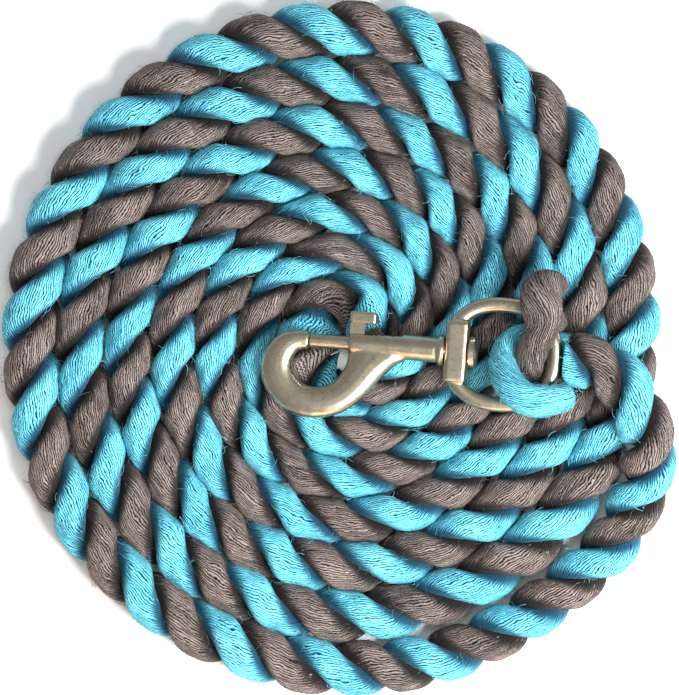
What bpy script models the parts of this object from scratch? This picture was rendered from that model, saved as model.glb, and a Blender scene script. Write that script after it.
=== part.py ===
"""Two-strand cotton lead rope, coiled flat, with a bolt snap spliced to its end.

Metres, +Z up. The coil lies on z = 0 with the origin under the middle of the whole
object, and +X runs along the snap, from its hook to its swivel ring.
"""
import math

import bmesh
import bpy
import numpy as np
from mathutils import Vector

MM = 0.001

# Rope
ROPE_DIAMETER = 21.0 * MM
GAP = 0.3 * MM                      # clearance between solids that meet
OVERCUT = 1.0 * MM                  # how far a cutter runs past the faces it opens
COIL_CENTRE = (-1.5 * MM, -0.3 * MM)

# Flat coil: radius of the rope's centre line after n turns inwards
COIL_START_ANGLE = math.radians(259.4)
COIL_RADIUS = 117.2 * MM
COIL_SINK = 2.5 * MM                # how far neighbouring turns sink into each other's lay
COIL_PITCH_EASE = 0.42 * MM         # the turns close up towards the middle
COIL_END_RADIUS = 11.2 * MM
COIL_SHIFT = (0.65 * MM, 4.75 * MM)
COIL_OVAL = (-1.05 * MM, 0.95 * MM)
COIL_EDGE_PRESSED = 7.3 * MM        # from the centre line to the edge beside the free stretch
COIL_EYE_RADIUS = 7.0 * MM
COIL_STEP = 0.9995                  # the spiral's edge steps in just before a whole turn
COIL_STEPS = 64
COIL_EDGE_STEPS = 5

# Free stretch, from the splice down to the floor and round to the coil
FREE_STRETCH = [
    (85.8, 1.4, 31.9), (91.5, 0.6, 31.9), (98.4, -2.6, 31.9), (104.6, -8.0, 31.8),
    (109.6, -15.4, 30.6), (112.6, -24.2, 26.8), (112.9, -33.6, 21.2), (110.7, -43.2, 16.0),
    (107.1, -52.6, 12.6), (102.4, -61.8, 11.1), (96.2, -70.4, 10.8), (88.9, -78.0, 10.8),
    (76.7, -89.2, 10.8), (64.9, -97.5, 10.8), (50.6, -105.4, 10.8), (37.2, -110.9, 10.8),
    (21.4, -114.4, 10.8), (7.3, -115.7, 10.8), (-8.3, -115.0, 10.8),
]
FREE_POINTS = 60
FREE_END_GAP = 0.9 * MM             # along the rope, from the tube's end to the coil's step

# Eye of the splice: each strand leaves the rope, passes over the ring's bow from outside, dives
# through the ring and comes back under its bar. The points are measured from the middle of the
# ring's bar, in shares of the distance from there to the middle of a strand that lies on it.
STRAND_DIAMETER = 11.0 * MM
STRAND_POINTS = 40
BROWN_ROUTE = [
    (0.84, 1.26, 0.17), (0.65, 1.75, -0.25), (0.33, 2.29, -0.53), (-0.09, 2.76, -0.46),
    (-0.51, 3.04, 0.05), (-0.76, 2.92, 0.66), (-0.80, 2.44, 1.04), (-0.69, 1.82, 1.13),
    (-0.68, 1.19, 1.04), (-0.88, 0.58, 0.68), (-1.06, -0.07, 0.10), (-0.96, -0.58, -0.63),
    (-0.47, -0.82, -0.99), (0.21, -0.85, -1.00), (0.87, -0.82, -1.00),
]
TURQUOISE_ROUTE = [
    (0.94, -1.40, 0.24), (0.64, -1.59, 0.38), (0.14, -1.75, 0.82), (-0.50, -1.85, 1.04),
    (-1.19, -1.73, 1.04), (-1.81, -1.32, 0.78), (-2.27, -0.74, 0.26), (-2.39, -0.11, -0.35),
    (-2.08, 0.47, -0.78), (-1.50, 0.83, -0.98), (-0.75, 0.78, -1.00), (0.07, 0.55, -1.00),
    (0.87, 0.53, -1.00),
]

# Whipping that closes the rope's inner end
WHIPPING_LENGTH = 8.5 * MM
WHIPPING_WALL = 1.2 * MM
INNER_END_LENGTH = 11.0 * MM

# Snap, along its own axis: 0 is the tail of the barrel, the hook lies at -X, the ring at +X
BARREL_FRONT = -31.0 * MM
BARREL_FRONT_RADIUS = 4.15 * MM
BARREL_TAIL_RADIUS = 4.65 * MM
COLLAR_LENGTH = 3.4 * MM
COLLAR_RADIUS = 5.65 * MM
COLLAR_GROOVE = 0.9 * MM

BARREL_CHAMFER = 0.6 * MM
COLLAR_GROOVE_DEPTH = 0.3 * MM
COLLAR_CHAMFER = 0.4 * MM

BOLT_RADIUS = 2.5 * MM
BOLT_LENGTH = 20.4 * MM
BOLT_CHAMFER = 0.4 * MM
RUNNING_CLEARANCE = 0.1 * MM
BOLT_TRAVEL = 13.3 * MM

STEM_LENGTH = 5.2 * MM
STEM_WIDTH = 3.8 * MM
STEM_FRONT = -30.8 * MM
STEM_TOP = 7.6 * MM
THUMB_LENGTH = 9.7 * MM
THUMB_WIDTH = 7.0 * MM
THUMB_HEIGHT = 4.0 * MM
THUMB_ROUNDING = 1.0 * MM
RIVET_WALL = 0.5 * MM               # what is left of the stem's width beside its rivet

SPRING_WIRE = 0.55 * MM
SPRING_TURNS = 8
SPRING_SIDES = 6
SPRING_STEPS = 14                   # sections in each turn

POST_SHANK = 4.6 * MM
POST_HEAD_RADIUS = 5.5 * MM
POST_HEAD_LENGTH = 3.1 * MM
POST_HEAD_CROWN = 1.0 * MM
POST_CHAMFER = 0.35 * MM

EYE_BAR_LENGTH = 22.2 * MM
EYE_BAR_WIDTH = 8.2 * MM
EYE_BAR_THICKNESS = 8.4 * MM
BOW_MIDDLE = 24.0 * MM
BOW_REACH = 19.1 * MM
BOW_HALF_WIDTH = 17.85 * MM
BOW_WIRE = 5.5 * MM
BOW_SQUARENESS = 2.3
BOW_OPENING = math.radians(148)     # half the arc of the bow, up to where it meets the bar
BOW_SECTIONS = 41
BOW_SIDES = 14
BOW_ROUNDING = 2.4
EYE_BAR_ROUNDING = 1.2 * MM

# Hook sections: outer edge, inner edge and half thickness, from the barrel round to the nose
HOOK_SECTIONS = [
    ((-6.0, -0.4), (-30.3, -0.4), 3.5),
    ((-9.5, -4.2), (-30.8, -3.6), 3.8),
    ((-14.2, -7.0), (-31.4, -7.4), 4.0),
    ((-18.8, -12.0), (-33.0, -11.0), 4.1),
    ((-24.4, -19.3), (-35.4, -14.2), 4.2),
    ((-31.8, -25.3), (-38.7, -15.9), 4.2),
    ((-42.0, -28.0), (-42.6, -16.5), 4.2),
    ((-52.0, -25.6), (-46.8, -15.6), 4.1),
    ((-59.5, -19.3), (-49.7, -12.6), 4.0),
    ((-62.3, -11.0), (-50.9, -8.9), 3.9),
    ((-60.6, -3.6), (-50.3, -5.8), 3.7),
    ((-55.9, 1.6), (-48.8, -4.0), 3.5),
    ((-50.3, 3.2), (-47.0, -3.3), 3.3),
    ((-45.5, 3.3), (-45.5, -3.2), 3.2),
]
HOOK_SUBSTEPS = 2
HOOK_SIDES = 20
HOOK_SQUARENESS = 2.6

ROUND_SIDES = 32

# Places that follow from the sizes above
ROPE_RADIUS = ROPE_DIAMETER / 2
COIL_PITCH = ROPE_DIAMETER - COIL_SINK
COIL_EDGE = ROPE_RADIUS             # from the outer turn's centre line to the coil's edge
COIL_TURNS = (COIL_PITCH - math.sqrt(COIL_PITCH ** 2 - 4 * COIL_PITCH_EASE
                                     * (COIL_RADIUS - COIL_END_RADIUS))) / (2 * COIL_PITCH_EASE)
STRAND_RADIUS = STRAND_DIAMETER / 2
EYE_BAR_FRONT = COLLAR_LENGTH + GAP
EYE_BAR_BACK = EYE_BAR_FRONT + EYE_BAR_WIDTH
BOW_END = BOW_MIDDLE + BOW_REACH
BORE_RADIUS = BOLT_RADIUS + RUNNING_CLEARANCE
RING_BAR_X = 75.4 * MM
RING_BAR_Y = 1.4 * MM
RING_BAR_Z = ROPE_DIAMETER + GAP + STRAND_DIAMETER + GAP + BOW_WIRE / 2
HOOK_REACH = BOW_END - min(outer[0] for outer, inner, half in HOOK_SECTIONS) * MM
HOOK_HALF_THICKNESS = max(half for outer, inner, half in HOOK_SECTIONS) * MM
SNAP_TILT = math.asin((RING_BAR_Z - ROPE_DIAMETER - GAP - HOOK_HALF_THICKNESS) / HOOK_REACH)
NOSE_FACE = HOOK_SECTIONS[-1][0][0] * MM
BOLT_TIP = NOSE_FACE + GAP
BOLT_TAIL = BOLT_TIP + BOLT_LENGTH


# ---------------------------------------------------------------- helpers

def clear_scene():
    for item in list(bpy.data.objects):
        bpy.data.objects.remove(item, do_unlink=True)


def material(name, colour, roughness, metallic=0.0):
    surface = bpy.data.materials.new(name)
    surface.use_nodes = True
    shader = surface.node_tree.nodes["Principled BSDF"]
    shader.inputs["Base Color"].default_value = (*colour, 1.0)
    shader.inputs["Roughness"].default_value = roughness
    shader.inputs["Metallic"].default_value = metallic
    return surface


def link(thing, parent=None):
    bpy.context.scene.collection.objects.link(thing)
    thing.parent = parent
    return thing


def empty(name, location, parent=None, tilt=0.0):
    thing = link(bpy.data.objects.new(name, None), parent)
    thing.location = location
    thing.rotation_euler = (0.0, tilt, 0.0)
    return thing


def solid(name, verts, faces, surface, parent=None, sharp=35):
    """One closed mesh with its faces turned outwards and its round sides shaded smooth."""
    mesh = bpy.data.meshes.new(name)
    shape = bmesh.new()
    corners = [shape.verts.new(v) for v in verts]
    for face in faces:
        shape.faces.new([corners[i] for i in face])
    bmesh.ops.remove_doubles(shape, verts=shape.verts, dist=1e-6)
    bmesh.ops.recalc_face_normals(shape, faces=shape.faces)
    shape.to_mesh(mesh)
    shape.free()
    mesh.shade_smooth()
    mesh.set_sharp_from_angle(angle=math.radians(sharp))
    mesh.materials.append(surface)
    return link(bpy.data.objects.new(name, mesh), parent)


def loft(rings, closed=False):
    """Vertices and faces of a skin over equal rings: a closed loop, or capped at each end."""
    count = len(rings[0])
    verts = [point for ring in rings for point in ring]
    faces = []
    for row in range(len(rings) if closed else len(rings) - 1):
        for i in range(count):
            j = (i + 1) % count
            a, b = row * count, (row + 1) % len(rings) * count
            faces.append((a + i, a + j, b + j, b + i))
    if not closed:
        faces.append(tuple(range(count - 1, -1, -1)))
        last = (len(rings) - 1) * count
        faces.append(tuple(range(last, last + count)))
    return verts, faces


def turned(name, profile, surface, parent=None, sides=ROUND_SIDES):
    """A solid turned about X from (along, radius) pairs, closed flat at both ends."""
    rings = []
    for along, radius in profile:
        rings.append([(along, radius * math.cos(a), radius * math.sin(a))
                      for a in np.linspace(0, 2 * math.pi, sides, endpoint=False)])
    return solid(name, *loft(rings), surface, parent)


def block(name, low, high, surface, parent=None):
    corners = [(x, y, z) for z in (low[2], high[2]) for y in (low[1], high[1])
               for x in (low[0], high[0])]
    faces = [(0, 2, 3, 1), (4, 5, 7, 6), (0, 1, 5, 4), (2, 6, 7, 3), (0, 4, 6, 2), (1, 3, 7, 5)]
    return solid(name, corners, faces, surface, parent)


def add_bevel(thing, width, segments, angle=30):
    bevel = thing.modifiers.new("edges", "BEVEL")
    bevel.width = width
    bevel.segments = segments
    bevel.limit_method = "ANGLE"
    bevel.angle_limit = math.radians(angle)


def boolean(thing, operation, tool):
    """Join or cut with a helper, which is left out of the finished object."""
    step = thing.modifiers.new(operation.lower(), "BOOLEAN")
    step.operation = operation
    step.solver = "EXACT"
    step.object = tool
    tool.hide_render = True
    tool.display_type = "WIRE"


def smooth_route(points, count):
    """Evenly spaced points on a smooth curve through the chosen ones."""
    points = np.array(points, float)
    ends = [2 * points[0] - points[1], *points, 2 * points[-1] - points[-2]]
    fine = []
    for p0, p1, p2, p3 in zip(ends, ends[1:], ends[2:], ends[3:]):
        for t in np.linspace(0, 1, 24, endpoint=False):
            fine.append(0.5 * (2 * p1 + (p2 - p0) * t + (2 * p0 - 5 * p1 + 4 * p2 - p3) * t ** 2
                               + (3 * p1 - p0 - 3 * p2 + p3) * t ** 3))
    fine.append(points[-1])
    fine = np.array(fine)
    run = np.concatenate([[0], np.cumsum(np.linalg.norm(np.diff(fine, axis=0), axis=1))])
    wanted = np.linspace(0, run[-1], count)
    return np.stack([np.interp(wanted, run, fine[:, k]) for k in range(3)], axis=1)


def tube(name, points, diameter, surface, parent=None):
    """A round cord solid: a bevelled curve with filled caps."""
    curve = bpy.data.curves.new(name, "CURVE")
    curve.dimensions = "3D"
    curve.bevel_depth = diameter / 2
    curve.bevel_resolution = 3
    curve.use_fill_caps = True
    spline = curve.splines.new("POLY")
    spline.points.add(len(points) - 1)
    for target, point in zip(spline.points, points):
        target.co = (*point, 1.0)
    curve.materials.append(surface)
    return link(bpy.data.objects.new(name, curve), parent)


# ---------------------------------------------------------------- rope

def coil_point(turn, height=ROPE_RADIUS):
    """The rope's centre line in the coil, after this many turns inwards."""
    angle = COIL_START_ANGLE - 2 * math.pi * turn
    radius = (COIL_RADIUS - COIL_PITCH * turn + COIL_PITCH_EASE * turn ** 2
              + COIL_SHIFT[0] * math.cos(angle) + COIL_SHIFT[1] * math.sin(angle)
              + COIL_OVAL[0] * math.cos(2 * angle) + COIL_OVAL[1] * math.sin(2 * angle))
    return Vector((COIL_CENTRE[0] + radius * math.cos(angle),
                   COIL_CENTRE[1] + radius * math.sin(angle), height))


def make_coil(surface):
    """The coil's outer shape: a flat spiral disc with a round edge and a small middle hole."""
    rings = []
    centre = Vector((*COIL_CENTRE, ROPE_RADIUS))
    middle = Vector((COIL_CENTRE[0], COIL_CENTRE[1] + COIL_SHIFT[1], 0.0))
    for turn in np.linspace(0, COIL_STEP, COIL_STEPS + 1):
        point = coil_point(turn)
        outwards = (point - centre).normalized()
        edge = COIL_EDGE + (COIL_EDGE_PRESSED - COIL_EDGE) * turn
        ring = []
        for lift in np.linspace(-math.pi / 2, math.pi / 2, COIL_EDGE_STEPS + 1):
            reach = edge * math.cos(lift)
            ring.append(Vector((point.x + outwards.x * reach, point.y + outwards.y * reach,
                                ROPE_RADIUS * (1 + math.sin(lift)))))
        hub = middle + outwards * COIL_EYE_RADIUS
        ring.append(Vector((hub.x, hub.y, ROPE_DIAMETER)))
        ring.append(Vector((hub.x, hub.y, 0.0)))
        rings.append(ring)
    return solid("rope_coil", *loft(rings, closed=True), surface)


def make_inner_end(coil, rope, twine):
    """The rope's inner end with its whipping, in a pocket of the coil's solid."""
    tip = coil_point(COIL_TURNS)
    back = coil_point(COIL_TURNS - 0.08)
    along = (tip - back).normalized()
    angle = math.atan2(along.y, along.x)
    start = tip - along * (INNER_END_LENGTH + GAP)
    holder = empty("inner_end", (start.x, start.y, ROPE_RADIUS + GAP))
    holder.rotation_euler = (0.0, 0.0, angle)
    core = ROPE_RADIUS - WHIPPING_WALL - GAP
    turned("rope_inner_end", [(GAP, core), (INNER_END_LENGTH - core / 3, core),
                              (INNER_END_LENGTH - core / 8, core * 0.86),
                              (INNER_END_LENGTH, core * 0.55)], rope, holder)
    band = turned("end_whipping", [(GAP, ROPE_RADIUS), (WHIPPING_LENGTH, ROPE_RADIUS)],
                  twine, holder)
    hole = turned("whipping_hole", [(-GAP, ROPE_RADIUS - WHIPPING_WALL),
                                    (WHIPPING_LENGTH + GAP, ROPE_RADIUS - WHIPPING_WALL)],
                  twine, holder)
    boolean(band, "DIFFERENCE", hole)
    pocket = block("end_pocket", (0.0, -ROPE_RADIUS - GAP, -ROPE_DIAMETER),
                   (INNER_END_LENGTH + 2 * GAP, ROPE_RADIUS + GAP, ROPE_DIAMETER), rope, holder)
    boolean(coil, "DIFFERENCE", pocket)


def make_free_stretch(surface):
    """The tube that stops just short of the coil's first turn."""
    points = [Vector(p) * MM for p in FREE_STRETCH]
    end = coil_point(0.0, points[-1].z)
    follow = coil_point(0.01, points[-1].z)
    points.append(end - (follow - end).normalized() * FREE_END_GAP)
    route = smooth_route(points, FREE_POINTS)
    return tube("rope_free_stretch", route, ROPE_DIAMETER, surface)


def make_strand(name, route, surface):
    """One of the two strands that hold the ring."""
    rise = BOW_WIRE / 2 + GAP + STRAND_RADIUS
    bar = Vector((RING_BAR_X, RING_BAR_Y, RING_BAR_Z))
    points = [bar + Vector(share) * rise for share in route]
    return tube(name, smooth_route(points, STRAND_POINTS), STRAND_DIAMETER, surface)


# ---------------------------------------------------------------- snap

def superellipse(half_a, half_b, power, sides):
    points = []
    for a in np.linspace(0, 2 * math.pi, sides, endpoint=False):
        c, s = math.cos(a), math.sin(a)
        points.append((half_a * math.copysign(abs(c) ** (2 / power), c),
                       half_b * math.copysign(abs(s) ** (2 / power), s)))
    return points


def hook_rings():
    """Rounded sections of the hook between its outer and inner edges."""
    rows = [[*outer, *inner, half] for outer, inner, half in HOOK_SECTIONS]
    rows = np.array(rows) * MM
    ends = [2 * rows[0] - rows[1], *rows, 2 * rows[-1] - rows[-2]]
    fine = []
    for p0, p1, p2, p3 in zip(ends, ends[1:], ends[2:], ends[3:]):
        for t in np.linspace(0, 1, HOOK_SUBSTEPS, endpoint=False):
            fine.append(0.5 * (2 * p1 + (p2 - p0) * t + (2 * p0 - 5 * p1 + 4 * p2 - p3) * t ** 2
                               + (3 * p1 - p0 - 3 * p2 + p3) * t ** 3))
    fine.append(rows[-1])
    rings = []
    for outer_x, outer_y, inner_x, inner_y, half in fine:
        middle = Vector(((outer_x + inner_x) / 2, (outer_y + inner_y) / 2, 0.0))
        across = Vector((outer_x - inner_x, outer_y - inner_y, 0.0))
        half_width = across.length / 2
        across.normalize()
        rings.append([middle + across * a + Vector((0, 0, b))
                      for a, b in superellipse(half_width, half, HOOK_SQUARENESS, HOOK_SIDES)])
    return rings


def make_body(surface, parent):
    """Hook, barrel and collar in one casting, bored for the bolt and slotted for its stem."""
    flange = COLLAR_GROOVE + COLLAR_GROOVE_DEPTH
    body = turned("snap_body", [
        (BARREL_FRONT, BARREL_FRONT_RADIUS - BARREL_CHAMFER),
        (BARREL_FRONT + BARREL_CHAMFER, BARREL_FRONT_RADIUS),
        (BARREL_FRONT / 2, (BARREL_FRONT_RADIUS + BARREL_TAIL_RADIUS) / 2),
        (0.0, BARREL_TAIL_RADIUS),
        (COLLAR_GROOVE, BARREL_TAIL_RADIUS - COLLAR_GROOVE_DEPTH),
        (flange, COLLAR_RADIUS - COLLAR_CHAMFER),
        (flange + COLLAR_CHAMFER, COLLAR_RADIUS),
        (COLLAR_LENGTH - COLLAR_CHAMFER, COLLAR_RADIUS),
        (COLLAR_LENGTH, COLLAR_RADIUS - COLLAR_CHAMFER),
    ], surface, parent)
    hook = solid("hook_arm", *loft(hook_rings()), surface, parent)
    boolean(body, "UNION", hook)
    bore = turned("bolt_bore", [(BARREL_FRONT - OVERCUT, BORE_RADIUS),
                                (COLLAR_LENGTH + OVERCUT, BORE_RADIUS)], surface, parent)
    boolean(body, "DIFFERENCE", bore)
    slot_end = STEM_FRONT + STEM_LENGTH + BOLT_TRAVEL + GAP
    half = STEM_WIDTH / 2 + GAP
    slot = block("stem_slot", (BARREL_FRONT - OVERCUT, 0.0, -half),
                 (slot_end, BARREL_TAIL_RADIUS + OVERCUT, half), surface, parent)
    boolean(body, "DIFFERENCE", slot)
    return body


def make_bolt(surface, parent):
    """The sliding bolt and the stud that is riveted into it."""
    bolt = turned("bolt", [(BOLT_TIP, BOLT_RADIUS - BOLT_CHAMFER),
                           (BOLT_TIP + BOLT_CHAMFER, BOLT_RADIUS),
                           (BOLT_TAIL - BOLT_CHAMFER, BOLT_RADIUS),
                           (BOLT_TAIL, BOLT_RADIUS - BOLT_CHAMFER)], surface, parent)
    stem_back = STEM_FRONT + STEM_LENGTH
    stem_middle = STEM_FRONT + STEM_LENGTH / 2
    rivet = STEM_WIDTH / 2 - RIVET_WALL
    socket = block("rivet_socket", (stem_middle - rivet, -BOLT_RADIUS * 2, -rivet),
                   (stem_middle + rivet, BOLT_RADIUS * 2, rivet), surface, parent)
    boolean(bolt, "DIFFERENCE", socket)
    stud = block("thumb_stud", (STEM_FRONT, BOLT_RADIUS + GAP, -STEM_WIDTH / 2),
                 (stem_back, STEM_TOP, STEM_WIDTH / 2), surface, parent)
    pin = rivet - GAP
    shank = block("stud_pin", (stem_middle - pin, -BOLT_RADIUS * 0.6, -pin),
                  (stem_middle + pin, BOLT_RADIUS + 2 * GAP, pin), surface, parent)
    head = block("thumb_head", (STEM_FRONT - GAP, STEM_TOP - GAP, -THUMB_WIDTH / 2),
                 (STEM_FRONT - GAP + THUMB_LENGTH, STEM_TOP + THUMB_HEIGHT, THUMB_WIDTH / 2),
                 surface, parent)
    add_bevel(head, THUMB_ROUNDING, 3)
    boolean(stud, "UNION", shank)
    boolean(stud, "UNION", head)


def make_spring(surface, parent):
    """The coil spring between the bolt's tail and the post's shank."""
    start = BOLT_TAIL + GAP + SPRING_WIRE / 2
    end = -POST_SHANK - GAP - SPRING_WIRE / 2
    radius = BORE_RADIUS - 2 * RUNNING_CLEARANCE - SPRING_WIRE / 2
    rings = []
    count = SPRING_TURNS * SPRING_STEPS
    for i in range(count + 1):
        angle = 2 * math.pi * SPRING_TURNS * i / count
        middle = Vector((start + (end - start) * i / count, radius * math.cos(angle),
                         radius * math.sin(angle)))
        out = Vector((0, math.cos(angle), math.sin(angle)))
        rings.append([middle + out * (SPRING_WIRE / 2 * math.cos(b))
                      + Vector((1, 0, 0)) * (SPRING_WIRE / 2 * math.sin(b))
                      for b in np.linspace(0, 2 * math.pi, SPRING_SIDES, endpoint=False)])
    return solid("bolt_spring", *loft(rings), surface, parent)


def make_post(surface, parent):
    """The swivel post: pressed into the barrel, with a head that keeps the eye on."""
    neck = BORE_RADIUS - RUNNING_CLEARANCE
    head = EYE_BAR_BACK + GAP
    top = head + POST_HEAD_LENGTH
    return turned("swivel_post", [
        (-POST_SHANK, neck - POST_CHAMFER), (-POST_SHANK + POST_CHAMFER, neck), (head, neck),
        (head, POST_HEAD_RADIUS - POST_CHAMFER), (head + POST_CHAMFER, POST_HEAD_RADIUS),
        (top - POST_HEAD_CROWN, POST_HEAD_RADIUS),
        (top - POST_HEAD_CROWN * 0.3, POST_HEAD_RADIUS - POST_HEAD_CROWN * 0.7),
        (top, POST_HEAD_RADIUS - POST_HEAD_CROWN * 2.2)], surface, parent)


def make_eye(surface, parent):
    """The swivel eye: a flat bar with the post's hole, and a round bow for the rope."""
    bar = block("swivel_eye", (EYE_BAR_FRONT, -EYE_BAR_LENGTH / 2, -EYE_BAR_THICKNESS / 2),
                (EYE_BAR_BACK, EYE_BAR_LENGTH / 2, EYE_BAR_THICKNESS / 2), surface, parent)
    add_bevel(bar, EYE_BAR_ROUNDING, 2)
    section = superellipse(BOW_WIRE / 2, BOW_WIRE / 2, BOW_ROUNDING, BOW_SIDES)
    rings = []
    for angle in np.linspace(-BOW_OPENING, BOW_OPENING, BOW_SECTIONS):
        c, s = math.cos(angle), math.sin(angle)
        middle = Vector((
            BOW_MIDDLE + BOW_REACH * math.copysign(abs(c) ** (2 / BOW_SQUARENESS), c),
            BOW_HALF_WIDTH * math.copysign(abs(s) ** (2 / BOW_SQUARENESS), s), 0.0))
        out = Vector((c / BOW_REACH, s / BOW_HALF_WIDTH, 0.0)).normalized()
        rings.append([middle + out * a + Vector((0, 0, b)) for a, b in section])
    bow = solid("eye_bow", *loft(rings), surface, parent)
    boolean(bar, "UNION", bow)
    hole = turned("post_hole", [(EYE_BAR_FRONT - OVERCUT, BORE_RADIUS),
                                (EYE_BAR_BACK + OVERCUT, BORE_RADIUS)], surface, parent)
    boolean(bar, "DIFFERENCE", hole)
    return bar


def main():
    clear_scene()
    turquoise = material("turquoise_cotton", (0.05, 0.42, 0.56), 0.92)
    brown = material("brown_cotton", (0.085, 0.062, 0.055), 0.94)
    rope = material("two_colour_rope", (0.07, 0.25, 0.32), 0.93)
    twine = material("waxed_twine", (0.09, 0.07, 0.06), 0.6)
    nickel = material("satin_nickel", (0.62, 0.58, 0.52), 0.32, 1.0)
    steel = material("spring_steel", (0.55, 0.55, 0.56), 0.3, 1.0)

    coil = make_coil(rope)
    make_inner_end(coil, rope, twine)
    make_free_stretch(rope)
    make_strand("eye_strand_brown", BROWN_ROUTE, brown)
    make_strand("eye_strand_turquoise", TURQUOISE_ROUTE, turquoise)

    lift = empty("eye_lift", (RING_BAR_X, RING_BAR_Y, RING_BAR_Z), tilt=-SNAP_TILT)
    swivel = empty("swivel", (-BOW_END, 0.0, 0.0), lift)
    make_eye(nickel, swivel)
    make_body(nickel, swivel)
    make_post(nickel, swivel)
    make_bolt(nickel, swivel)
    make_spring(steel, swivel)


main()
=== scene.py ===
"""Looks of a coiled two-strand cotton lead rope with its swivel bolt snap.

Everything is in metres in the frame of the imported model: the coil lies on z = 0 and +X runs
along the snap, from its hook to its swivel ring.
"""

import math

import bmesh
import bpy
import numpy as np
from mathutils import Matrix, Vector


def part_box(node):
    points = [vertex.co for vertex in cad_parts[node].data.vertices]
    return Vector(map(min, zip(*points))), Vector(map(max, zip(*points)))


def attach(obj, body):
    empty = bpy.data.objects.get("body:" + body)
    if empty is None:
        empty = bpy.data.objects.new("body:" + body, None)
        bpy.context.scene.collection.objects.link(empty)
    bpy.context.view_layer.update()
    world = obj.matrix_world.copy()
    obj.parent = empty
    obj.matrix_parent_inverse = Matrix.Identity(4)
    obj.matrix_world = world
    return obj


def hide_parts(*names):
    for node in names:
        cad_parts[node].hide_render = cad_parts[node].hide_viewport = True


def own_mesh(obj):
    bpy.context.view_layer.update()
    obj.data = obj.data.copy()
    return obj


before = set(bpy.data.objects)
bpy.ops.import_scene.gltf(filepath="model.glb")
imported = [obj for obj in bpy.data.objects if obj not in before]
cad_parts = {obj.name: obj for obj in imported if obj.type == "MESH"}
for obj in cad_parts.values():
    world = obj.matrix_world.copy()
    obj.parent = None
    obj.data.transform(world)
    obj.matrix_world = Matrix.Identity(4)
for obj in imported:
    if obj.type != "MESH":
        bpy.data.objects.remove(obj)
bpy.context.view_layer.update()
MM = 0.001

# Rope, as the model holds it
ROPE_RADIUS = 10.5 * MM
COIL_CENTRE = (-1.5 * MM, -0.3 * MM)
COIL_START_ANGLE = math.radians(259.4)
COIL_RADIUS = 117.2 * MM
COIL_PITCH = 18.5 * MM
COIL_PITCH_EASE = 0.42 * MM
COIL_SHIFT = (0.65 * MM, 4.75 * MM)
COIL_OVAL = (-1.05 * MM, 0.95 * MM)
COIL_TURNS = 6.77
COIL_POINTS_A_TURN = 24
INNER_END_LENGTH = 11.3 * MM
INNER_END_LIFT = 0.3 * MM
INNER_END_REACH = 4.0 * MM          # the strands' soft ends stand out beyond the model's tip
WHIPPING_LENGTH = 8.2 * MM
WHIPPING_RADIUS = 9.9 * MM
WHIPPING_TURNS = 7.5
SPLICE_THROAT = (79.2, 1.7, 31.3)
FREE_STRETCH = [
    (85.8, 1.4, 31.9), (91.2, 0.5, 31.9), (97.4, -3.0, 31.9), (102.8, -8.8, 31.8),
    (107.6, -16.2, 30.6), (111.2, -24.6, 26.8), (112.3, -33.7, 21.2), (110.7, -43.2, 16.0),
    (107.1, -52.6, 12.6), (102.4, -61.8, 11.1), (96.2, -70.4, 10.8), (88.9, -78.0, 10.8),
    (76.7, -89.2, 10.8), (64.9, -97.5, 10.8), (50.6, -105.4, 10.8), (37.2, -110.9, 10.8),
    (21.4, -114.4, 10.8), (7.3, -115.7, 10.8), (-8.3, -115.0, 10.8),
]

# How the two strands lie in the rope
ROW_STEP = 1.36 * MM                # between the strand's sections, along the rope
SECTION_POINTS = 44
STRAND_MIDDLE = 4.6 * MM            # from the rope's axis to the middle of a strand
STRAND_HALF_DEPTH = 5.9 * MM
STRAND_HALF_WIDTH = 7.6 * MM
STRAND_SQUARENESS = 2.1
LAY_START = -0.72                   # lays at the start of the free stretch, from a turquoise crest
LAY_THROAT = 25.0 * MM              # the lay is short where the splice grips the rope
LAY_STRETCH = 189.1 * MM
LAY_LENGTHS = [34.4, 38.6, 38.7, 35.1, 37.7, 38.0, 38.8, 36.2, 36.1, 34.8, 37.5, 33.1,
               35.2, 35.5]          # millimetres, one for each stretch of the rope
INNER_LAYS = [(46.0, 46.0), (90.0, 30.0), (53.0, 40.0)]   # its last stretches: length, then lay
YARN_RADIUS = 8.4 * MM              # where a yarn's width is measured round the rope
INNER_SWELL = 0.60                  # the innermost turn is looser towards the hole
INNER_SWELL_LENGTH = 105.0 * MM
INNER_SWELL_EASE = 15.0 * MM
FREE_TAUTNESS = 0.05                # the free stretch is a little thinner than the coil
FREE_LENGTH = 215.0 * MM
YARN_SKEW = 0.10                    # how far the yarns stray from the rope's own direction
YARN_WIDTH = 0.80 * MM
BUNDLES = 24                        # bundles of yarn round the rope
BUNDLE_RELIEF = 0.014
SLOW_SWELL = (0.028, 0.0283)        # how much a strand swells, and its wave along the rope
QUICK_SWELL = (0.022, 0.0111)
END_ROUNDING = 7.0 * MM
END_GRIP = 0.80                     # how much the whipping leaves of a strand's size
END_GRIP_REACH = 9.0 * MM
CREASE_DEPTH = 5.2 * MM             # from the rope's axis: creases below, crowns above
CROWN_RISE = 5.3 * MM
NEIGHBOUR_ROWS = 40                 # rows nearer than this along the rope are the same turn
NEIGHBOUR_REACH = 2.4               # in rope radii, how near another turn presses

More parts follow.
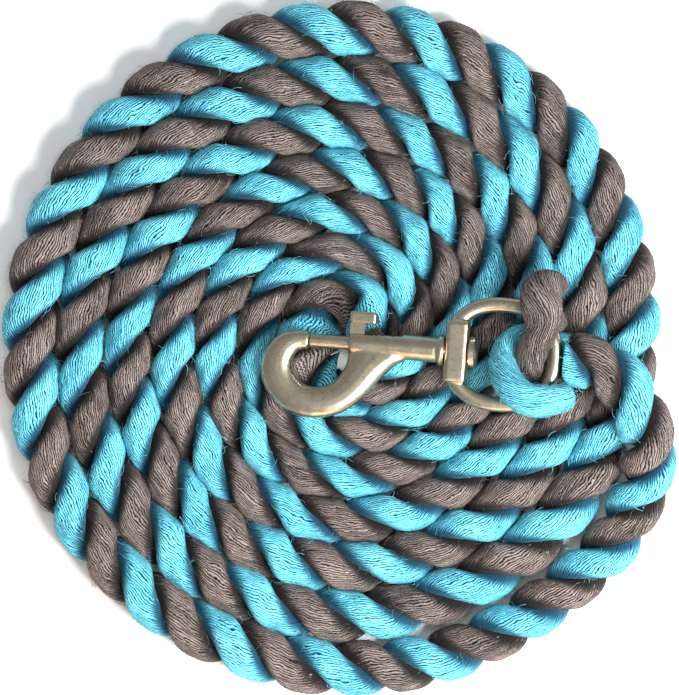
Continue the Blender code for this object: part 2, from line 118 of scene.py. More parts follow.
# Splice strands, from the middle of the ring's bar, in shares of the strand's distance from it
RING_BAR = (75.4 * MM, 1.4 * MM, 35.35 * MM)
STRAND_RISE = 8.55 * MM
BROWN_ROUTE = [
    (0.10, 1.05, -1.02), (-0.20, 1.65, -1.02), (-0.50, 2.25, -0.96), (-0.66, 2.76, -0.58),
    (-0.51, 3.04, 0.05), (-0.76, 2.92, 0.66), (-0.80, 2.44, 1.04), (-0.69, 1.82, 1.13),
    (-0.68, 1.19, 1.04), (-0.88, 0.58, 0.68), (-1.06, -0.07, 0.10), (-0.96, -0.58, -0.63),
    (-0.47, -0.82, -0.99), (0.21, -0.85, -1.00), (0.87, -0.82, -1.00),
]
TURQUOISE_ROUTE = [
    (0.80, -1.36, 0.24), (0.55, -1.55, 0.38), (0.10, -1.72, 0.82), (-0.50, -1.82, 1.04),
    (-1.12, -1.74, 1.04), (-1.66, -1.38, 0.78), (-2.03, -0.82, 0.26), (-2.12, -0.20, -0.35),
    (-1.88, 0.36, -0.78), (-1.40, 0.70, -0.98), (-0.75, 0.70, -1.00), (0.07, 0.55, -1.00),
    (0.87, 0.53, -1.00),
]

SPLICE_ROW_STEP = 0.5 * MM
SPLICE_SECTION_POINTS = 56
SPLICE_YARN_RADIUS = 6.2 * MM
SPLICE_BUNDLES = 15                 # bundles of yarn round a loose strand
SPLICE_BUNDLE_RELIEF = 0.016
SPLICE_LUMPS = 0.03
SPLICE_CROWN = 0.85                 # a loose strand shows no creases of its own

# Bolt spring
SPRING_TURNS = 8.0
SPRING_RADIUS = 2.05 * MM
SPRING_WIRE = 0.6 * MM
SPRING_LENGTH = 18.7 * MM
BOLT_DIRECTION = (0.995624, 0.0, 0.093454)

# Castings
CAST_WELD = 0.02 * MM
CAST_VOXEL = 0.36 * MM
CAST_SMOOTHING = 8

# Stray fibres
FIBRE_DENSITY = 85000.0
FIBRE_LENGTH = 4.2 * MM
FIBRE_RADIUS = 0.055 * MM


# ---------------------------------------------------------------- meshes

SEAM_GAP = 0.001 * MM

def close_seams(mesh):
    """Join the points that lie on each other, and turn every face outwards."""
    shell = bmesh.new()
    shell.from_mesh(mesh)
    bmesh.ops.remove_doubles(shell, verts=shell.verts, dist=SEAM_GAP)
    bmesh.ops.recalc_face_normals(shell, faces=shell.faces)
    shell.to_mesh(mesh)
    shell.free()


def mesh_object(name, verts, faces, surface, yarn=None, depth=None):
    """A smooth mesh at the origin. yarn is each vertex's (across, along) for the yarn pattern."""
    mesh = bpy.data.meshes.new(name)
    mesh.from_pydata([tuple(v) for v in verts], [], faces)
    mesh.shade_smooth()
    mesh.materials.append(surface)
    if yarn is not None:
        layer = mesh.uv_layers.new(name="yarn")
        corners = np.zeros(len(mesh.loops), int)
        mesh.loops.foreach_get("vertex_index", corners)
        layer.data.foreach_set("uv", np.asarray(yarn)[corners].astype(np.float32).ravel())
    if depth is not None:
        tone = mesh.attributes.new("crown", "FLOAT", "POINT")
        tone.data.foreach_set("value", np.asarray(depth).astype(np.float32))
    close_seams(mesh)
    thing = bpy.data.objects.new(name, mesh)
    bpy.context.scene.collection.objects.link(thing)
    return thing


def smooth_route(points, step):
    """Evenly spaced points, about a step apart, on a smooth curve through the chosen ones."""
    points = np.array(points, float)
    ends = [2 * points[0] - points[1], *points, 2 * points[-1] - points[-2]]
    fine = []
    for p0, p1, p2, p3 in zip(ends, ends[1:], ends[2:], ends[3:]):
        for t in np.linspace(0, 1, 24, endpoint=False):
            fine.append(0.5 * (2 * p1 + (p2 - p0) * t + (2 * p0 - 5 * p1 + 4 * p2 - p3) * t ** 2
                               + (3 * p1 - p0 - 3 * p2 + p3) * t ** 3))
    fine.append(points[-1])
    fine = np.array(fine)
    run = np.concatenate([[0], np.cumsum(np.linalg.norm(np.diff(fine, axis=0), axis=1))])
    wanted = np.linspace(0, run[-1], int(round(run[-1] / step)) + 1)
    return np.stack([np.interp(wanted, run, fine[:, k]) for k in range(3)], axis=1), wanted


def unit(vectors):
    return vectors / np.linalg.norm(vectors, axis=-1, keepdims=True)


def sweep_faces(rows, count):
    """Faces over a grid of rings with a cap at each end. Each ring's last point lies on its
    first one, and close_seams joins them later."""
    faces = []
    for row in range(rows - 1):
        a, b = row * count, (row + 1) * count
        faces += [(a + i, a + i + 1, b + i + 1, b + i) for i in range(count - 1)]
    last = (rows - 1) * count
    faces.append(tuple(range(count - 2, -1, -1)))
    faces.append(tuple(range(last, last + count - 1)))
    return faces


# ---------------------------------------------------------------- materials

class Field:
    """A shader socket that can be used in Python arithmetic."""

    def __init__(self, finish, socket):
        self.finish, self.socket = finish, socket

    def maths(self, operation, *values):
        return self.finish.node("ShaderNodeMath", {"operation": operation},
                                dict(enumerate(values)))

    def __add__(self, other):
        return self.maths("ADD", self, other)

    __radd__ = __add__

    def __sub__(self, other):
        return self.maths("SUBTRACT", self, other)

    def __rsub__(self, other):
        return self.maths("SUBTRACT", other, self)

    def __mul__(self, other):
        return self.maths("MULTIPLY", self, other)

    __rmul__ = __mul__

    def __truediv__(self, other):
        return self.maths("DIVIDE", self, other)

    def fraction(self):
        return self.maths("FRACT", self)

    def floor(self):
        return self.maths("FLOOR", self)

    def above(self, start, end):
        """0 below start, 1 above end, and smooth between them."""
        return self.finish.node("ShaderNodeMapRange", {"interpolation_type": "SMOOTHSTEP"},
                                {0: self, 1: start, 2: end, 3: 0.0, 4: 1.0})


class Finish:
    """One material while it is made."""

    def __init__(self, name, **constants):
        self.material = bpy.data.materials.new(name)
        self.material.use_nodes = True
        self.tree = self.material.node_tree
        self.shader = self.tree.nodes["Principled BSDF"]
        for key, value in constants.items():
            self.shader.inputs[key.replace("_", " ")].default_value = value

    def node(self, kind, settings=None, inputs=None, output=0):
        """A node with its settings and its sockets' values or links. Gives one output."""
        made = self.tree.nodes.new(kind)
        for key, value in (settings or {}).items():
            setattr(made, key, value)
        for key, value in (inputs or {}).items():
            self.feed(made.inputs[key], value)
        return Field(self, made.outputs[output])

    def feed(self, socket, value):
        if isinstance(value, Field):
            self.tree.links.new(value.socket, socket)
        else:
            socket.default_value = value

    def surface(self, name, value):
        self.feed(self.shader.inputs[name], value)

    def mix(self, factor, a, b):
        a = (*a, 1.0) if isinstance(a, tuple) else a
        b = (*b, 1.0) if isinstance(b, tuple) else b
        return self.node("ShaderNodeMix", {"data_type": "RGBA"}, {0: factor, 6: a, 7: b}, output=2)

    def split(self, vector):
        return [self.node("ShaderNodeSeparateXYZ", None, {0: vector}, output=k) for k in range(3)]

    def point(self, x, y, z=0.0):
        return self.node("ShaderNodeCombineXYZ", None, {0: x, 1: y, 2: z})

    def noise(self, vector, scale, detail=2.0, rough=0.5):
        return self.node("ShaderNodeTexNoise", {"noise_dimensions": "3D"},
                         {"Vector": vector, "Scale": scale, "Detail": detail, "Roughness": rough})

    def bump(self, height, distance, strength=1.0):
        return self.node("ShaderNodeBump", None,
                         {"Height": height, "Distance": distance, "Strength": strength})


def cotton(name, deep_tone_and_shade, body, bright, fleck_share, groove_shade_depth):
    """Soft dyed cotton: yarns side by side, each with its own tone, and pale lint caught on them.
    Painted shade darkens the thin lines between the yarns and the creases between the strands,
    and the strands' crests are painted lighter."""
    f = Finish(name, Roughness=0.88, Sheen_Weight=0.25, Sheen_Roughness=0.5,
               Specular_IOR_Level=0.25)
    f.shader.inputs["Sheen Tint"].default_value = (*bright, 1.0)
    across, along, _ = f.split(f.node("ShaderNodeUVMap", {"uv_map": "yarn"}))
    crown = f.node("ShaderNodeAttribute", {"attribute_name": "crown"}, output=2)
    wander = f.noise(f.point(across * 190.0, along * 110.0), 1.0, 3.0, 0.6)
    yarns = across / YARN_WIDTH + (wander - 0.5) * 4.6
    place = yarns.fraction() * 2.0 - 1.0
    ridge = 1.0 - place * place
    number = yarns.floor()
    tone = f.noise(f.point(number * 7.3, along * 90.0), 1.0, 1.0)
    slub = f.noise(f.point(number * 3.1, along * 420.0, 5.0), 1.0, 2.0)
    fibre = f.noise(f.point(across * 4200.0, along * 1300.0), 1.0, 3.0, 0.7)
    broken = f.noise(f.point(number * 5.7, along * 260.0, 2.0), 1.0, 2.0).above(0.30, 0.62)
    # Painted shade along the thin lines between the yarns, stronger in some places than others.
    groove_shade = (1.0 - ridge.above(0.10, 0.90)) * (0.25 + slub * 1.6) * (0.25 + broken * 1.1)
    patch = f.noise(f.point(across * 120.0, along * 60.0, 9.0), 1.0, 3.0)
    # Each yarn's own tone at random, plus painted light on the strands' crests and painted shade
    # in their creases, less the painted shade between the yarns.
    shade = (0.66 + (tone - 0.5) * 0.75 + (fibre - 0.5) * 1.05 + (patch - 0.5) * 0.6
             + (crown - 0.7) * 0.55 - groove_shade * groove_shade_depth)
    colour = f.mix(shade.above(-0.05, 0.55), deep_tone_and_shade, body)
    colour = f.mix(shade.above(0.45, 1.0), colour, bright)
    # Painted shade: the strands' creases are blended towards the darkest colour.
    crease_shade = crown.above(0.30, 0.88)
    colour = f.mix(crease_shade * 0.92 + 0.08, deep_tone_and_shade, colour)
    fleck = f.noise(f.point(across * 1500.0, along * 420.0, 3.7), 1.0, 1.0)
    colour = f.mix(fleck.above(1.0 - fleck_share, 1.06 - fleck_share) * 0.5, colour,
                   (0.50, 0.47, 0.44))
    f.surface("Base Color", colour)
    height = ridge.above(0.0, 0.9) * 0.6 + slub * 0.2 + fibre * 0.35
    f.surface("Normal", f.bump(height, 0.5 * MM, 1.0))
    return f.material


def plain_cotton(name, body, bright):
    """Loose fibres, too fine to show anything but a change of tone along them."""
    f = Finish(name, Roughness=0.9)
    place = f.node("ShaderNodeTexCoord", output=3)
    f.surface("Base Color", f.mix(f.noise(place, 400.0, 2.0).above(0.35, 0.65), body, bright))
    return f.material


def satin_nickel(name):
    """Cast and tumbled nickel plate: fine grain, a few rubs, slightly uneven gloss."""
    f = Finish(name, Metallic=1.0)
    place = f.node("ShaderNodeTexCoord", output=3)
    grain = f.noise(place, 2600.0, 3.0, 0.7)
    cloud = f.noise(place, 170.0, 2.0)
    rub = f.noise(place, 520.0, 4.0, 0.7)
    tint = f.mix(cloud.above(0.3, 0.7), (0.570, 0.500, 0.375), (0.640, 0.565, 0.430))
    f.surface("Base Color", f.mix(grain.above(0.52, 0.34), tint, (0.50, 0.43, 0.32)))
    f.surface("Roughness", 0.30 + (rub - 0.5) * 0.14 + (grain - 0.5) * 0.16)
    f.surface("Normal", f.bump(grain * 0.8 + cloud * 1.2, 0.05 * MM, 1.0))
    return f.material


def plain_steel(name, colour, rough):
    f = Finish(name, Metallic=1.0)
    place = f.node("ShaderNodeTexCoord", output=3)
    grain = f.noise(place, 3000.0, 2.0)
    f.surface("Base Color", f.mix(grain, colour, tuple(c * 0.85 for c in colour)))
    f.surface("Roughness", rough + (grain - 0.5) * 0.1)
    return f.material


def waxed_twine(name):
    f = Finish(name, Roughness=0.55)
    place = f.node("ShaderNodeTexCoord", output=3)
    grain = f.noise(place, 2400.0, 3.0)
    f.surface("Base Color", f.mix(grain, (0.05, 0.035, 0.028), (0.16, 0.12, 0.09)))
    f.surface("Normal", f.bump(grain, 0.12 * MM, 0.8))
    return f.material


def pale_floor(name):
    f = Finish(name, Roughness=0.8)
    place = f.node("ShaderNodeTexCoord", output=3)
    f.surface("Base Color", f.mix(f.noise(place, 3.0, 2.0), (0.86, 0.86, 0.86),
                                  (0.90, 0.90, 0.895)))
    return f.material


# Each cotton's first colour is its darkest yarn tone and also the painted shade in its creases and
# between its yarns.
TURQUOISE = cotton("turquoise_cotton", (0.002, 0.022, 0.058), (0.056, 0.330, 0.480),
                   (0.210, 0.760, 0.900), 0.24, 1.35)
BROWN = cotton("brown_cotton", (0.003, 0.002, 0.003), (0.036, 0.028, 0.027),
               (0.260, 0.212, 0.194), 0.27, 1.10)
TURQUOISE_FIBRE = plain_cotton("turquoise_fibre", (0.045, 0.300, 0.430), (0.180, 0.640, 0.760))
BROWN_FIBRE = plain_cotton("brown_fibre", (0.030, 0.022, 0.021), (0.200, 0.155, 0.140))
NICKEL = satin_nickel("satin_nickel")
SPRING = plain_steel("spring_steel", (0.56, 0.56, 0.57), 0.3)
TWINE = waxed_twine("waxed_twine")


# ---------------------------------------------------------------- rope

def coil_point(turn):
    angle = COIL_START_ANGLE - 2 * math.pi * turn
    radius = (COIL_RADIUS - COIL_PITCH * turn + COIL_PITCH_EASE * turn ** 2
              + COIL_SHIFT[0] * math.cos(angle) + COIL_SHIFT[1] * math.sin(angle)
              + COIL_OVAL[0] * math.cos(2 * angle) + COIL_OVAL[1] * math.sin(2 * angle))
    return (COIL_CENTRE[0] + radius * math.cos(angle),
            COIL_CENTRE[1] + radius * math.sin(angle), ROPE_RADIUS)


def inner_end():
    """Where the rope's straight, whipped end starts and where its tip is."""
    tip, back = Vector(coil_point(COIL_TURNS)), Vector(coil_point(COIL_TURNS - 0.08))
    onwards = (tip - back).normalized()
    lift = Vector((0.0, 0.0, INNER_END_LIFT))
    return tip - onwards * INNER_END_LENGTH + lift, tip + onwards * INNER_END_REACH + lift


def rope_route():
    """The rope's axis from the splice to its inner end, and each point's distance from the
    start of the free stretch."""
    points = [Vector(p) * MM for p in [SPLICE_THROAT, *FREE_STRETCH]]
    start, tip = inner_end()
    count = int((COIL_TURNS - 0.2) * COIL_POINTS_A_TURN)
    points += [coil_point(i / COIL_POINTS_A_TURN) for i in range(count + 1)]
    points += [start, start.lerp(tip, 0.5), tip]
    route, run = smooth_route(points, ROW_STEP)
    throat = (Vector(FREE_STRETCH[0]) - Vector(SPLICE_THROAT)).length * MM
    return route, run - throat


def lay_angle(run):
    """How far the strands have turned round the rope's axis, by the lay of each stretch."""
    inner_stretches, inner_lays = (list(column) for column in zip(*INNER_LAYS))
    stretches = np.array([LAY_STRETCH / MM] * len(LAY_LENGTHS) + inner_stretches) * MM
    lays = stretches / (np.array(LAY_LENGTHS + inner_lays) * MM)
    counts = LAY_START + np.concatenate([[0], np.cumsum(lays)])
    ends = np.concatenate([[0], np.cumsum(stretches)])
    turned = np.interp(run, ends, counts)
    turned = np.where(run < 0, LAY_START + run / LAY_THROAT, turned)
    return 2 * math.pi * turned + math.pi / 2


def strand_section(angles):
    """A strand's outline about the rope's axis: (outwards, sideways), flat where it meets the
    other strand."""
    c, s = np.cos(angles), np.sin(angles)
    power = 2 / STRAND_SQUARENESS
    out = STRAND_MIDDLE + STRAND_HALF_DEPTH * np.sign(c) * np.abs(c) ** power
    side = STRAND_HALF_WIDTH * np.sign(s) * np.abs(s) ** power
    return np.maximum(out, 0.06 * MM), side


def reach_sideways(turn):
    """How far the pair of strands reaches to one side when it has turned this far."""
    out, side = strand_section(np.linspace(-math.pi, math.pi, 90))
    best = np.zeros_like(turn)
    for opposite in (0.0, math.pi):
        angle = turn[:, None] + opposite
        best = np.maximum(best, np.abs(out * np.cos(angle) - side * np.sin(angle)).max(axis=1))
    return best


def pressed_sides(route, left, turn):
    """How much each side of the rope is pressed in by the turn that lies beside it."""
    reach = reach_sideways(turn)
    count = len(route)
    index = np.arange(count)
    shares = []
    for side in (1.0, -1.0):
        share = np.ones(count)
        for i in range(count):
            away = route - route[i]
            far = np.linalg.norm(away, axis=1)
            lateral = (away @ left[i]) * side
            near = ((np.abs(index - i) > NEIGHBOUR_ROWS)
                    & (far < NEIGHBOUR_REACH * ROPE_RADIUS) & (lateral > 0.6 * far))
            if near.any():
                j = index[near][far[near].argmin()]
                share[i] = min(1.0, far[j] / (reach[i] + reach[j]))
        kernel = np.hanning(9)
        shares.append(np.convolve(np.pad(share, 4, mode="edge"), kernel / kernel.sum(), "valid"))
    return shares


def make_rope():
    route, run = rope_route()
    ahead = unit(np.gradient(route, axis=0))
    up = np.array([0.0, 0.0, 1.0])
    left = unit(np.cross(up, ahead))
    lift = np.cross(ahead, left)
    turn = lay_angle(run)
    press_left, press_right = pressed_sides(route, left, turn)
    span = run[-1] - run
    inner = np.clip((INNER_SWELL_LENGTH - span) / INNER_SWELL_EASE, 0, 1)
    inner = inner * np.clip((span - INNER_END_LENGTH) / INNER_SWELL_EASE, 0, 1)
    press_right = press_right * (1 + INNER_SWELL * inner)
    taut = 1 - FREE_TAUTNESS * np.clip((FREE_LENGTH - run) / (30 * MM), 0, 1)
    angles = np.linspace(-math.pi, math.pi, SECTION_POINTS)
    out, side = strand_section(angles)
    made = []
    for name, surface, opposite in (("rope_strand_turquoise", TURQUOISE, 0.0),
                                    ("rope_strand_brown", BROWN, math.pi)):
        around = turn + opposite
        full = (1 + SLOW_SWELL[0] * np.sin(run / SLOW_SWELL[1] + 2 * opposite)
                + QUICK_SWELL[0] * np.sin(run / QUICK_SWELL[1] + opposite))
        end = np.clip(span / END_ROUNDING, 0, 1)
        grip = END_GRIP + (1 - END_GRIP) * np.clip((span - END_GRIP_REACH) / END_GRIP_REACH, 0, 1)
        full = full * grip * taut * np.sqrt(np.clip(end * (2 - end), 0.001, 1))
        polar = np.arctan2(side, out)[None, :] + around[:, None]
        skewed = polar - YARN_SKEW * run[:, None] / YARN_RADIUS
        bundles = (np.sin(BUNDLES * skewed + 1.6 * np.sin(3 * polar + run[:, None] / 0.013))
                   * (0.6 + 0.4 * np.sin(run[:, None] / 0.0047 + 5 * polar)))
        relief = 1 + BUNDLE_RELIEF * bundles * (out > STRAND_MIDDLE * 0.5)
        r = out[None, :] * full[:, None] * relief
        t = side[None, :] * full[:, None]
        c, s = np.cos(around)[:, None], np.sin(around)[:, None]
        u = r * c - t * s
        v = r * s + t * c
        u = u * np.where(u > 0, press_left[:, None], press_right[:, None])
        verts = (route[:, None, :] + u[..., None] * left[:, None, :]
                 + v[..., None] * lift[:, None, :])
        verts[..., 2] = np.maximum(verts[..., 2], 0.0)
        rows, count = r.shape
        along = np.broadcast_to(run[:, None], (rows, count))
        yarn = np.stack([skewed * YARN_RADIUS, along], axis=-1)
        crown = np.clip((np.hypot(r, t) - CREASE_DEPTH) / CROWN_RISE, 0, 1)
        verts, yarn, crown = verts.reshape(-1, 3), yarn.reshape(-1, 2), crown.reshape(-1)
        faces = sweep_faces(rows, count)
        made.append(mesh_object(name, verts, faces, surface, yarn, crown))
    return made, route


def make_splice_strand(name, route_shares, surface, sizes, wind):
    """A loose strand of the splice. sizes are (share of its length, half width, half thickness)
    in millimetres, and wind is how fast its yarns wind round it."""
    points = np.array(RING_BAR) + np.array(route_shares) * STRAND_RISE
    route, run = smooth_route(points, SPLICE_ROW_STEP)
    ahead = unit(np.gradient(route, axis=0))
    share = run / run[-1]
    shares, widths, depths = zip(*sizes)
    half_width = np.interp(share, shares, widths) * MM
    half_depth = np.interp(share, shares, depths) * MM
    side = np.cross(ahead, unit(route - np.array(RING_BAR)))
    side = unit(side)
    for i in range(1, len(side)):
        if side[i] @ side[i - 1] < 0:
            side[i] = -side[i]
    kernel = np.hanning(15)
    kernel = kernel / kernel.sum()
    side = np.stack([np.convolve(np.pad(side[:, k], 7, mode="edge"), kernel, "valid")
                     for k in range(3)], axis=1)
    side = unit(side - ahead * (side * ahead).sum(axis=1, keepdims=True))
    top = np.cross(ahead, side)
    angles = np.linspace(-math.pi, math.pi, SPLICE_SECTION_POINTS)
    wound = angles[None, :] + wind * run[:, None]
    bundles = np.sin(SPLICE_BUNDLES * wound + 1.4 * np.sin(3 * wound + run[:, None] / 0.009))
    lumps = np.sin(2 * angles[None, :] + run[:, None] / 0.0061)
    end = np.clip(np.minimum(run, run[-1] - run) / (3 * MM), 0, 1)
    full = (np.sqrt(np.clip(end * (2 - end), 0.001, 1))[:, None]
            * (1 + SPLICE_BUNDLE_RELIEF * bundles + SPLICE_LUMPS * lumps))
    a = np.cos(angles)[None, :] * half_width[:, None] * full
    b = np.sin(angles)[None, :] * half_depth[:, None] * full
    verts = route[:, None, :] + a[..., None] * side[:, None, :] + b[..., None] * top[:, None, :]
    rows, count = a.shape
    along = np.broadcast_to(run[:, None], (rows, count))
    yarn = np.stack([wound * SPLICE_YARN_RADIUS, along], axis=-1)
    faces = sweep_faces(rows, count)
    crown = np.full(rows * count, SPLICE_CROWN)
    return mesh_object(name, verts.reshape(-1, 3), faces, surface, yarn.reshape(-1, 2), crown)


class NodeTree:
    """A geometry tree while it is made: named inputs, and nodes joined by their sockets."""

    def __init__(self, name, sizes):
        self.tree = bpy.data.node_groups.new(name, "GeometryNodeTree")
        face = self.tree.interface
        face.new_socket("Geometry", in_out="INPUT", socket_type="NodeSocketGeometry")
        for key, (kind, value) in sizes.items():
            face.new_socket(key, in_out="INPUT", socket_type=kind).default_value = value
        face.new_socket("Geometry", in_out="OUTPUT", socket_type="NodeSocketGeometry")
        self.given = self.tree.nodes.new("NodeGroupInput").outputs

    def node(self, kind, settings=None, inputs=None, output=0):
        made = self.tree.nodes.new(kind)
        for key, value in (settings or {}).items():
            setattr(made, key, value)
        for key, value in (inputs or {}).items():
            if isinstance(value, bpy.types.NodeSocket):
                self.tree.links.new(value, made.inputs[key])
            else:
                made.inputs[key].default_value = value
        return made.outputs[output]

    def finish(self, geometry, surface):
        real = self.node("GeometryNodeRealizeInstances", None, {0: geometry})
        smooth = self.node("GeometryNodeSetShadeSmooth", None, {0: real})
        painted = self.node("GeometryNodeSetMaterial", None, {0: smooth, "Material": surface})
        out = self.tree.nodes.new("NodeGroupOutput")
        self.tree.links.new(painted, out.inputs[0])


def grown(tree, name, base, surface, **sizes):
    """The tree's result on a base mesh, as a plain mesh of its own."""
    holder = bpy.data.objects.new(name + "_base", base)
    bpy.context.scene.collection.objects.link(holder)
    modifier = holder.modifiers.new("tree", "NODES")
    modifier.node_group = tree.tree
    for socket in tree.tree.interface.items_tree:
        if socket.in_out == "INPUT" and socket.name in sizes:
            modifier[socket.identifier] = sizes[socket.name]
    holder.data.update()
    made = bpy.data.meshes.new_from_object(holder.evaluated_get(
        bpy.context.evaluated_depsgraph_get()))
    holder.modifiers.clear()
    bpy.data.objects.remove(holder)
    made.name = name
    made.materials.clear()
    made.materials.append(surface)
    for vertex in made.vertices:
        if vertex.co.z < 0.0:
            vertex.co.z = 0.0
    thing = bpy.data.objects.new(name, made)
    bpy.context.scene.collection.objects.link(thing)
    return thing


def stray_fibre_tree(surface):
    """Short curled fibres scattered over the crowns of a strand."""
    t = NodeTree("stray_fibres", {
        "Density": ("NodeSocketFloat", 60000.0), "Length": ("NodeSocketFloat", 0.005),
        "Thickness": ("NodeSocketFloat", 0.0001), "Seed": ("NodeSocketInt", 1)})
    crown = t.node("GeometryNodeInputNamedAttribute", {"data_type": "FLOAT"}, {"Name": "crown"})
    high = t.node("ShaderNodeMath", {"operation": "GREATER_THAN"}, {0: crown, 1: 0.55})
    density = t.node("ShaderNodeMath", {"operation": "MULTIPLY"}, {0: high, 1: t.given["Density"]})
    spread = t.tree.nodes.new("GeometryNodeDistributePointsOnFaces")
    t.tree.links.new(t.given["Geometry"], spread.inputs["Mesh"])
    t.tree.links.new(density, spread.inputs["Density"])
    t.tree.links.new(t.given["Seed"], spread.inputs["Seed"])
    curl = t.node("GeometryNodeCurveQuadraticBezier", None,
                  {"Resolution": 4, "Start": (0, 0, -0.04), "Middle": (0.45, 0.22, 0.34),
                   "End": (1.0, -0.1, 0.05)})
    length = t.node("ShaderNodeCombineXYZ", None,
                    {0: t.given["Length"], 1: t.given["Length"], 2: t.given["Length"]})
    scaled = t.node("GeometryNodeTransform", None, {"Geometry": curl, "Scale": length})
    section = t.node("GeometryNodeCurvePrimitiveCircle", {"mode": "RADIUS"},
                     {"Resolution": 3, "Radius": t.given["Thickness"]})
    fibre = t.node("GeometryNodeCurveToMesh", None,
                   {"Curve": scaled, "Profile Curve": section, "Fill Caps": True})
    swing = t.node("FunctionNodeRandomValue", {"data_type": "FLOAT_VECTOR"},
                   {0: (-0.35, -0.35, 0.0), 1: (0.35, 0.35, 2 * math.pi), "Seed": t.given["Seed"]})
    swing = t.node("FunctionNodeEulerToRotation", None, {0: swing})
    turned = t.node("FunctionNodeRotateRotation", {"rotation_space": "LOCAL"},
                    {0: spread.outputs["Rotation"], 1: swing})
    size = t.node("FunctionNodeRandomValue", {"data_type": "FLOAT"},
                  {2: 0.35, 3: 1.25, "Seed": t.given["Seed"]}, output=1)
    placed = t.node("GeometryNodeInstanceOnPoints", None,
                    {"Points": spread.outputs["Points"], "Instance": fibre, "Rotation": turned,
                     "Scale": size})
    t.finish(placed, surface)
    return t


def wound_wire_tree(name, surface):
    """Round wire or twine wound in even turns along +Z."""
    t = NodeTree(name, {
        "Turns": ("NodeSocketFloat", 6.0), "Radius": ("NodeSocketFloat", 0.01),
        "Wire": ("NodeSocketFloat", 0.001), "Length": ("NodeSocketFloat", 0.01)})
    helix = t.node("GeometryNodeCurveSpiral", None,
                   {"Resolution": 28, "Rotations": t.given["Turns"],
                    "Start Radius": t.given["Radius"], "End Radius": t.given["Radius"],
                    "Height": t.given["Length"]})
    section = t.node("GeometryNodeCurvePrimitiveCircle", {"mode": "RADIUS"},
                     {"Resolution": 10, "Radius": t.given["Wire"]})
    wire = t.node("GeometryNodeCurveToMesh", None,
                  {"Curve": helix, "Profile Curve": section, "Fill Caps": True})
    t.finish(wire, surface)
    return t


def seed_mesh(name):
    mesh = bpy.data.meshes.new(name)
    mesh.from_pydata([(0, 0, 0)], [], [])
    return mesh


def cast_copy(name, nodes, voxel, rounds, surface):
    """A copy of CAD nodes with the soft corners of a tumbled casting."""
    shell = bmesh.new()
    for node in nodes:
        shell.from_mesh(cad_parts[node].data)
    bmesh.ops.remove_doubles(shell, verts=shell.verts, dist=CAST_WELD)
    mesh = bpy.data.meshes.new(name)
    shell.to_mesh(mesh)
    shell.free()
    rough = bpy.data.objects.new(name + "_rough", mesh)
    bpy.context.scene.collection.objects.link(rough)
    remesh = rough.modifiers.new("remesh", "REMESH")
    remesh.mode = "VOXEL"
    remesh.voxel_size = voxel
    soften = rough.modifiers.new("soften", "SMOOTH")
    soften.factor = 0.5
    soften.iterations = rounds
    made = bpy.data.meshes.new_from_object(rough.evaluated_get(
        bpy.context.evaluated_depsgraph_get()))
    bpy.data.objects.remove(rough)
    made.name = name
    made.shade_smooth()
    made.materials.clear()
    made.materials.append(surface)
    thing = bpy.data.objects.new(name, made)
    bpy.context.scene.collection.objects.link(thing)
    return thing


(turquoise, brown), rope_path = make_rope()
for strand, slot_name in ((turquoise, "turquoise_cotton"), (brown, "brown_cotton")):
    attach(strand, "rope")
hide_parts("rope_coil", "rope_free_stretch", "rope_inner_end")

splice_brown = make_splice_strand(
    "splice_strand_brown", BROWN_ROUTE, BROWN,
    ((0, 4.2, 4.4), (0.15, 4.8, 4.8), (0.32, 8.2, 5.6), (0.45, 7.6, 5.7), (0.58, 6.6, 5.6),
     (0.72, 7.4, 5.3), (0.82, 6.2, 5.0), (1, 5.0, 5.0)), 95.0)
splice_turquoise = make_splice_strand(
    "splice_strand_turquoise", TURQUOISE_ROUTE, TURQUOISE,
    ((0, 4.6, 4.4), (0.08, 6.6, 5.2), (0.20, 8.0, 5.5), (0.40, 7.4, 5.4), (0.6, 6.6, 5.2),
     (0.75, 5.6, 5.0), (1, 5.0, 5.0)), 70.0)
for piece, node, slot_name in ((splice_brown, "eye_strand_brown", "brown_cotton"),
                               (splice_turquoise, "eye_strand_turquoise", "turquoise_cotton")):
    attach(piece, "rope")
    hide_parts(node)

for strand, kind, surface, slot_name, seed in (
        (turquoise, "turquoise", TURQUOISE_FIBRE, "turquoise_cotton", 3),
        (brown, "brown", BROWN_FIBRE, "brown_cotton", 8)):
    tree = stray_fibre_tree(surface)
    fuzz = grown(tree, f"stray_fibres_{kind}", strand.data.copy(), surface,
                 Density=FIBRE_DENSITY, Length=FIBRE_LENGTH, Thickness=FIBRE_RADIUS, Seed=seed)
    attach(fuzz, "rope")
    splice = splice_turquoise if kind == "turquoise" else splice_brown
    fuzz = grown(tree, f"splice_fibres_{kind}", splice.data.copy(), surface,
                 Density=FIBRE_DENSITY, Length=FIBRE_LENGTH, Thickness=FIBRE_RADIUS, Seed=seed + 1)
    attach(fuzz, "rope")

end_start, end_tip = inner_end()
whipping = grown(wound_wire_tree("wound_twine", TWINE), "whipping_turns", seed_mesh("whipping"),
                 TWINE, Turns=WHIPPING_TURNS, Radius=WHIPPING_RADIUS, Wire=0.6 * MM,
                 Length=WHIPPING_LENGTH)
aim = (end_tip - end_start).to_track_quat("Z", "Y").to_matrix().to_4x4()
whipping.data.transform(Matrix.Translation(end_start) @ aim)
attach(whipping, "rope")
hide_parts("end_whipping")

for name, nodes, body in (("snap_casting", ["snap_body"], "snap"),
                          ("eye_casting", ["swivel_eye"], "eye")):
    casting = cast_copy(name, nodes, CAST_VOXEL, CAST_SMOOTHING, NICKEL)
    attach(casting, body)
    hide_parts(*nodes)
for node in ("swivel_post", "bolt", "thumb_stud"):
    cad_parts[node].data.materials.clear()
    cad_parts[node].data.materials.append(NICKEL)

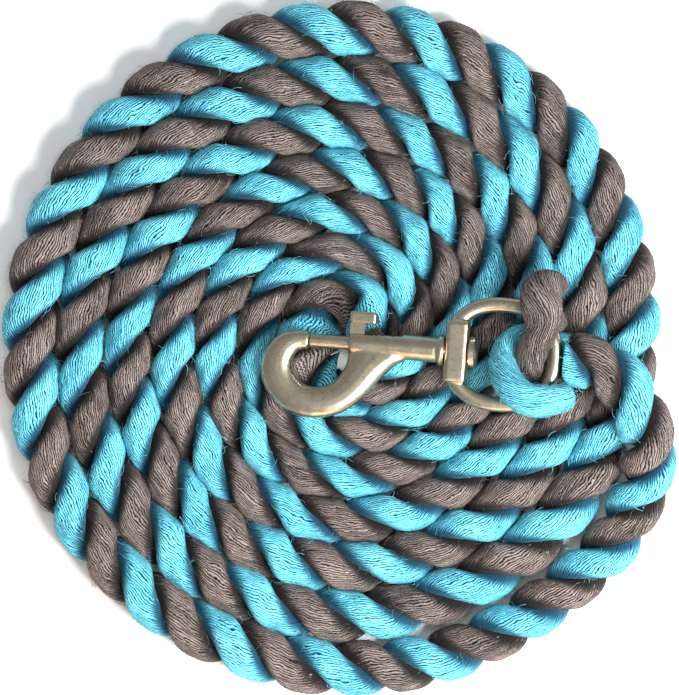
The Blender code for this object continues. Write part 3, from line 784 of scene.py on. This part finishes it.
spring = grown(wound_wire_tree("wound_spring", SPRING), "spring_turns", seed_mesh("spring"),
               SPRING, Turns=SPRING_TURNS, Radius=SPRING_RADIUS, Wire=SPRING_WIRE / 2,
               Length=SPRING_LENGTH)
low, high = (Vector(corner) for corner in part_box("bolt_spring"))
slide = Vector(BOLT_DIRECTION)
spring_front = (low + high) / 2 - slide * SPRING_LENGTH / 2
spring.data.transform(Matrix.Translation(spring_front)
                      @ slide.to_track_quat("Z", "Y").to_matrix().to_4x4())
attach(spring, "snap")
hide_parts("bolt_spring")
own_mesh(spring)


# ---------------------------------------------------------------- floor, light and camera

def make_stage():
    bpy.ops.mesh.primitive_plane_add(size=6.0, location=(0, 0, 0))
    floor = bpy.context.object
    floor.name = "floor"
    floor.data.materials.append(pale_floor("pale_floor"))


def add_light(name, place, size, watts, colour=(1, 1, 1), aim=(0, 0, 0), mirrored=True):
    light = bpy.data.lights.new(name, "AREA")
    light.shape = "DISK"
    light.size = size
    light.energy = watts
    light.color = colour
    lamp = bpy.data.objects.new(name, light)
    bpy.context.scene.collection.objects.link(lamp)
    lamp.visible_glossy = mirrored
    lamp.location = place
    lamp.rotation_euler = (Vector(aim) - Vector(place)).to_track_quat("-Z", "Y").to_euler()


def make_lights():
    add_light("key", (0.50, -0.30, 0.80), 0.50, 25.0, (1.0, 0.99, 0.97))
    add_light("overhead", (-0.1, 0.25, 1.3), 0.9, 8.0, (0.96, 0.98, 1.0), mirrored=False)
    add_light("warm_bounce", (0.05, -1.0, 0.42), 0.55, 3.2, (1.0, 0.62, 0.36))
    world = bpy.data.worlds.new("studio")
    bpy.context.scene.world = world
    world.use_nodes = True
    sky = world.node_tree.nodes["Background"]
    sky.inputs[0].default_value = (0.95, 0.97, 1.0, 1.0)
    sky.inputs[1].default_value = 0.29


CAMERA_HEIGHT = 3.0
CREST_HEIGHT = 18.0 * MM            # the level that the view is sized at
VIEW_HEIGHT = 250.2 * MM


def make_camera():
    lens = bpy.data.cameras.new("camera")
    lens.sensor_width = 36.0
    lens.lens = lens.sensor_width * (CAMERA_HEIGHT - CREST_HEIGHT) / VIEW_HEIGHT
    lens.clip_end = 20.0
    camera = bpy.data.objects.new("camera", lens)
    bpy.context.scene.collection.objects.link(camera)
    camera.location = (-1.7 * MM, -0.5 * MM, CAMERA_HEIGHT)
    camera.rotation_euler = (0.0, 0.0, math.radians(4.4))
    bpy.context.scene.camera = camera
    bpy.context.scene.view_settings.view_transform = "Standard"


make_stage()
make_lights()
make_camera()
